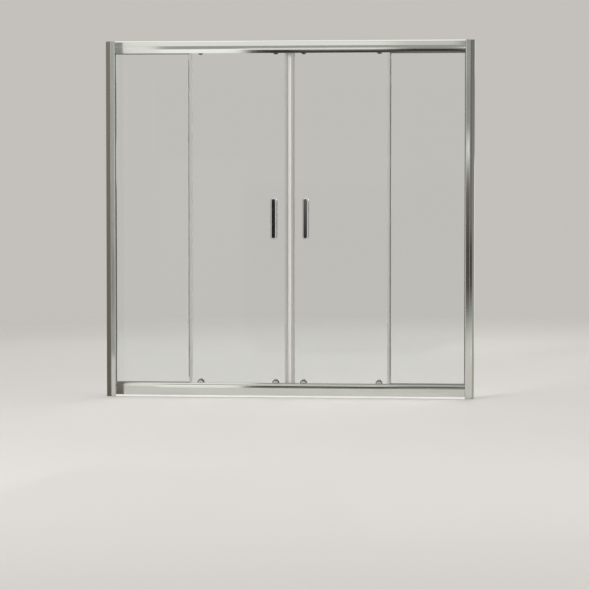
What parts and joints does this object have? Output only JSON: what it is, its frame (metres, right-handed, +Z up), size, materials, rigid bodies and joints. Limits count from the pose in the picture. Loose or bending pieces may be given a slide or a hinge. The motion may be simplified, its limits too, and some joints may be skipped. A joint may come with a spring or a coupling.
{
  "type": "sliding bath screen",
  "caption": "Framed bath screen for an alcove: two fixed glass panes and two sliding glass doors on rollers between a top and a bottom rail.",
  "frame": {"origin": "middle of the screen's foot, where it stands on the bath's rim", "axes": "+X across the opening to the right as seen from the room, +Y from the room towards the bath, +Z up"},
  "size_m": [1.5, 0.0675, 1.45],
  "materials": {
    "bright_aluminium": "polished, bright anodised",
    "clear_glass": "clear toughened glass",
    "handle_chrome": "mirror chrome plate",
    "stainless_steel": "plain turned",
    "clear_pvc": "translucent extruded",
    "white_pvc": "smooth extruded",
    "ferrite": "bonded magnet strip",
    "nylon": "turned nylon",
    "grey_rubber": "moulded",
    "grey_plastic": "moulded"
  },
  "bodies": {
    "frame": {"top_rail": "bright_aluminium", "bottom_rail": "bright_aluminium", "sill_seal": "white_pvc", "rail_screws": "stainless_steel", "lock_screws": "stainless_steel", "door_stops": "grey_rubber", "wall_channel_left": "bright_aluminium", "wall_channel_right": "bright_aluminium", "side_post_left": "bright_aluminium", "side_post_right": "bright_aluminium", "post_cap_left": "grey_plastic", "post_cap_right": "grey_plastic", "fixed_pane_left": "clear_glass", "fixed_pane_right": "clear_glass", "pane_gasket_left": "clear_pvc", "pane_gasket_right": "clear_pvc", "pane_edge_seal_left": "clear_pvc", "pane_edge_seal_right": "clear_pvc"},
    "door_left": {"door_glass_left": "clear_glass", "door_edge_profile_left": "bright_aluminium", "magnet_seal_left": "white_pvc", "magnet_strip_left": "ferrite", "door_edge_seal_left": "clear_pvc", "handle_front_left": "handle_chrome", "handle_rear_left": "handle_chrome", "handle_studs_left": "stainless_steel", "handle_washers_left": "clear_pvc", "top_roller_brackets_left": "handle_chrome", "top_roller_bolts_left": "stainless_steel", "roller_caps_left": "handle_chrome", "bottom_roller_housings_left": "handle_chrome", "bottom_spring_inner_left": "stainless_steel", "bottom_spring_outer_left": "stainless_steel"},
    "top_wheel_inner_left": {"top_wheel_inner_left": "nylon"},
    "bottom_carrier_inner_left": {"bottom_carrier_inner_left": "handle_chrome"},
    "bottom_wheel_inner_left": {"bottom_wheel_inner_left": "nylon"},
    "top_wheel_outer_left": {"top_wheel_outer_left": "nylon"},
    "bottom_carrier_outer_left": {"bottom_carrier_outer_left": "handle_chrome"},
    "bottom_wheel_outer_left": {"bottom_wheel_outer_left": "nylon"},
    "door_right": {"door_glass_right": "clear_glass", "door_edge_profile_right": "bright_aluminium", "magnet_seal_right": "white_pvc", "magnet_strip_right": "ferrite", "door_edge_seal_right": "clear_pvc", "handle_front_right": "handle_chrome", "handle_rear_right": "handle_chrome", "handle_studs_right": "stainless_steel", "handle_washers_right": "clear_pvc", "top_roller_brackets_right": "handle_chrome", "top_roller_bolts_right": "stainless_steel", "roller_caps_right": "handle_chrome", "bottom_roller_housings_right": "handle_chrome", "bottom_spring_inner_right": "stainless_steel", "bottom_spring_outer_right": "stainless_steel"},
    "top_wheel_inner_right": {"top_wheel_inner_right": "nylon"},
    "bottom_carrier_inner_right": {"bottom_carrier_inner_right": "handle_chrome"},
    "bottom_wheel_inner_right": {"bottom_wheel_inner_right": "nylon"},
    "top_wheel_outer_right": {"top_wheel_outer_right": "nylon"},
    "bottom_carrier_outer_right": {"bottom_carrier_outer_right": "handle_chrome"},
    "bottom_wheel_outer_right": {"bottom_wheel_outer_right": "nylon"}
  },
  "joints": [
    {"name": "door_left_slide", "type": "slide", "parent": "frame", "child": "door_left", "axis": [-1, 0, 0], "range_m": [0, 0.29]},
    {"name": "top_wheel_inner_left_spin", "type": "hinge", "parent": "door_left", "child": "top_wheel_inner_left", "pos_m": [-0.057, 0, 1.4212], "axis": [0, 1, 0], "range_deg": [-1812, 0]},
    {"name": "bottom_carrier_inner_left_press", "type": "slide", "parent": "door_left", "child": "bottom_carrier_inner_left", "axis": [0, 0, -1], "range_m": [0, 0.004], "stiffness_N_per_m": 500, "springref_m": -0.004, "deforming": ["bottom_spring_inner_left"]},
    {"name": "bottom_wheel_inner_left_spin", "type": "hinge", "parent": "bottom_carrier_inner_left", "child": "bottom_wheel_inner_left", "pos_m": [-0.057, 0, 0.0368], "axis": [0, 1, 0], "range_deg": [0, 1812]},
    {"name": "top_wheel_outer_left_spin", "type": "hinge", "parent": "door_left", "child": "top_wheel_outer_left", "pos_m": [-0.365, 0, 1.4212], "axis": [0, 1, 0], "range_deg": [-1812, 0]},
    {"name": "bottom_carrier_outer_left_press", "type": "slide", "parent": "door_left", "child": "bottom_carrier_outer_left", "axis": [0, 0, -1], "range_m": [0, 0.004], "stiffness_N_per_m": 500, "springref_m": -0.004, "deforming": ["bottom_spring_outer_left"]},
    {"name": "bottom_wheel_outer_left_spin", "type": "hinge", "parent": "bottom_carrier_outer_left", "child": "bottom_wheel_outer_left", "pos_m": [-0.365, 0, 0.0368], "axis": [0, 1, 0], "range_deg": [0, 1812]},
    {"name": "door_right_slide", "type": "slide", "parent": "frame", "child": "door_right", "axis": [1, 0, 0], "range_m": [0, 0.29]},
    {"name": "top_wheel_inner_right_spin", "type": "hinge", "parent": "door_right", "child": "top_wheel_inner_right", "pos_m": [0.057, 0, 1.4212], "axis": [0, 1, 0], "range_deg": [0, 1812]},
    {"name": "bottom_carrier_inner_right_press", "type": "slide", "parent": "door_right", "child": "bottom_carrier_inner_right", "axis": [0, 0, -1], "range_m": [0, 0.004], "stiffness_N_per_m": 500, "springref_m": -0.004, "deforming": ["bottom_spring_inner_right"]},
    {"name": "bottom_wheel_inner_right_spin", "type": "hinge", "parent": "bottom_carrier_inner_right", "child": "bottom_wheel_inner_right", "pos_m": [0.057, 0, 0.0368], "axis": [0, 1, 0], "range_deg": [-1812, 0]},
    {"name": "top_wheel_outer_right_spin", "type": "hinge", "parent": "door_right", "child": "top_wheel_outer_right", "pos_m": [0.365, 0, 1.4212], "axis": [0, 1, 0], "range_deg": [0, 1812]},
    {"name": "bottom_carrier_outer_right_press", "type": "slide", "parent": "door_right", "child": "bottom_carrier_outer_right", "axis": [0, 0, -1], "range_m": [0, 0.004], "stiffness_N_per_m": 500, "springref_m": -0.004, "deforming": ["bottom_spring_outer_right"]},
    {"name": "bottom_wheel_outer_right_spin", "type": "hinge", "parent": "bottom_carrier_outer_right", "child": "bottom_wheel_outer_right", "pos_m": [0.365, 0, 0.0368], "axis": [0, 1, 0], "range_deg": [-1812, 0]}
  ],
  "couplings": [
    {"joint": "top_wheel_inner_left_spin", "follows": "door_left_slide", "rad_per_m": -108.7},
    {"joint": "bottom_wheel_inner_left_spin", "follows": "door_left_slide", "rad_per_m": 108.7},
    {"joint": "top_wheel_outer_left_spin", "follows": "door_left_slide", "rad_per_m": -108.7},
    {"joint": "bottom_wheel_outer_left_spin", "follows": "door_left_slide", "rad_per_m": 108.7},
    {"joint": "top_wheel_inner_right_spin", "follows": "door_right_slide", "rad_per_m": 108.7},
    {"joint": "bottom_wheel_inner_right_spin", "follows": "door_right_slide", "rad_per_m": -108.7},
    {"joint": "top_wheel_outer_right_spin", "follows": "door_right_slide", "rad_per_m": 108.7},
    {"joint": "bottom_wheel_outer_right_spin", "follows": "door_right_slide", "rad_per_m": -108.7}
  ]
}
